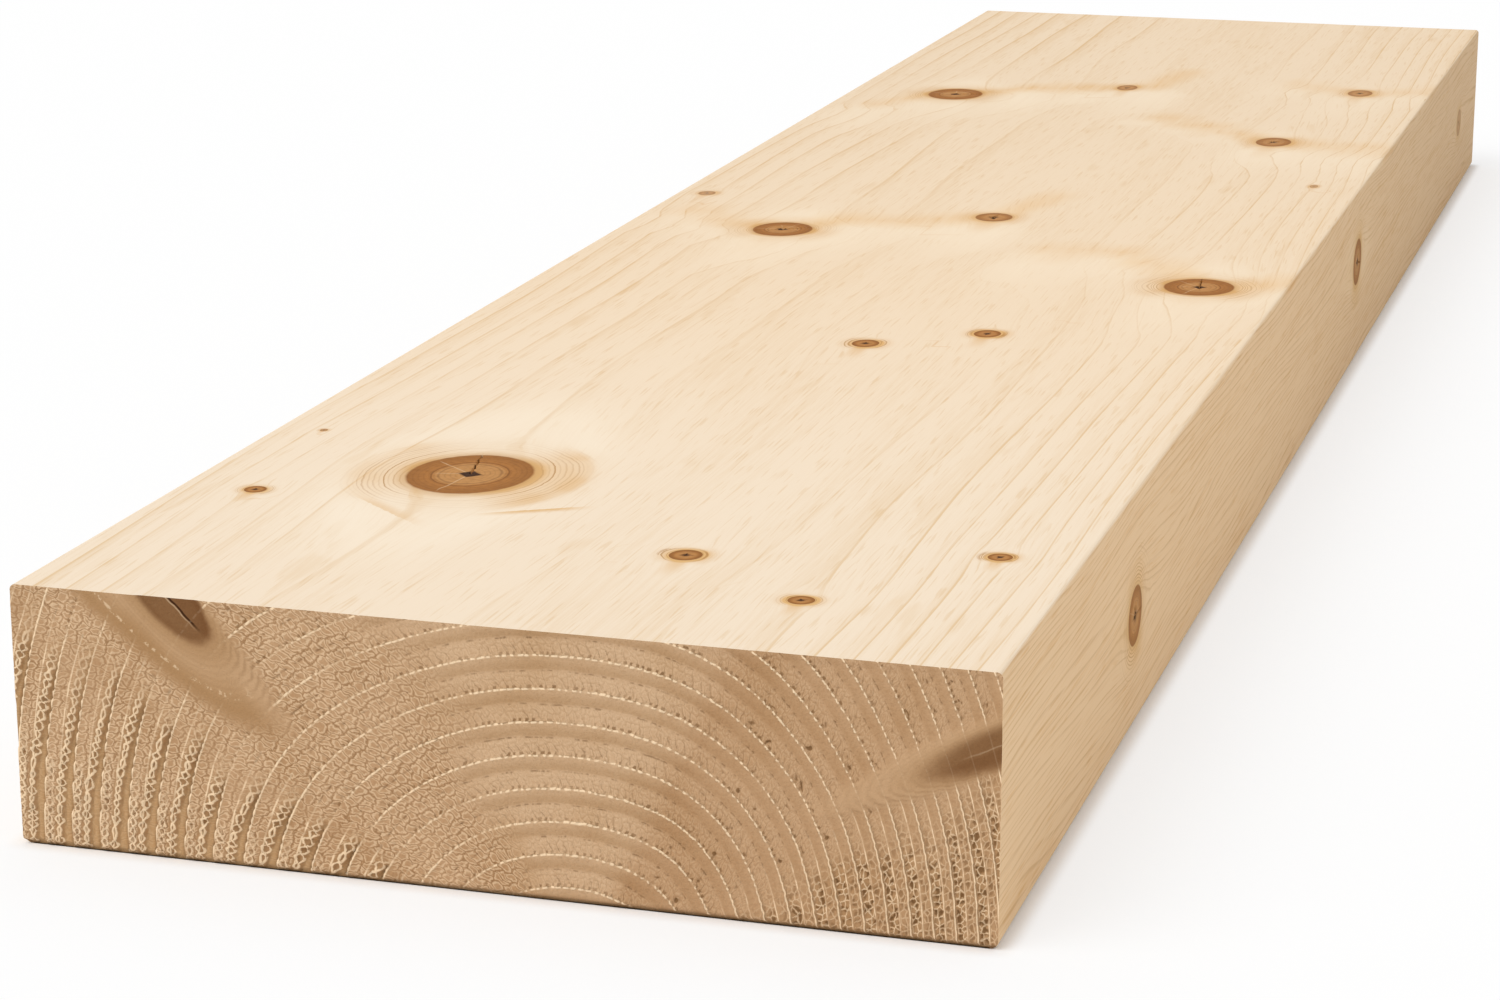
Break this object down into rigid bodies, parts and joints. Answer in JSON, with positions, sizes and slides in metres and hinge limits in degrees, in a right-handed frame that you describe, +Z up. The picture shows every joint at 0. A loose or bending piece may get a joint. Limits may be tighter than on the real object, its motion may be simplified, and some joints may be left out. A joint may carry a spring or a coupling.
{
  "type": "timber lumber plank",
  "caption": "Straight planed softwood plank of rectangular section with eased long edges and square sawn ends, used as building stock.",
  "frame": {"origin": "centre of the underside, so the plank rests on Z = 0", "axes": "+Y along the length from the near end to the far end, +X across the width, +Z up through the thickness"},
  "size_m": [0.14, 0.6, 0.038],
  "materials": {
    "softwood": "planed, unfinished, with sawn end grain"
  },
  "bodies": {
    "root": {"plank": "softwood"}
  },
  "joints": []
}
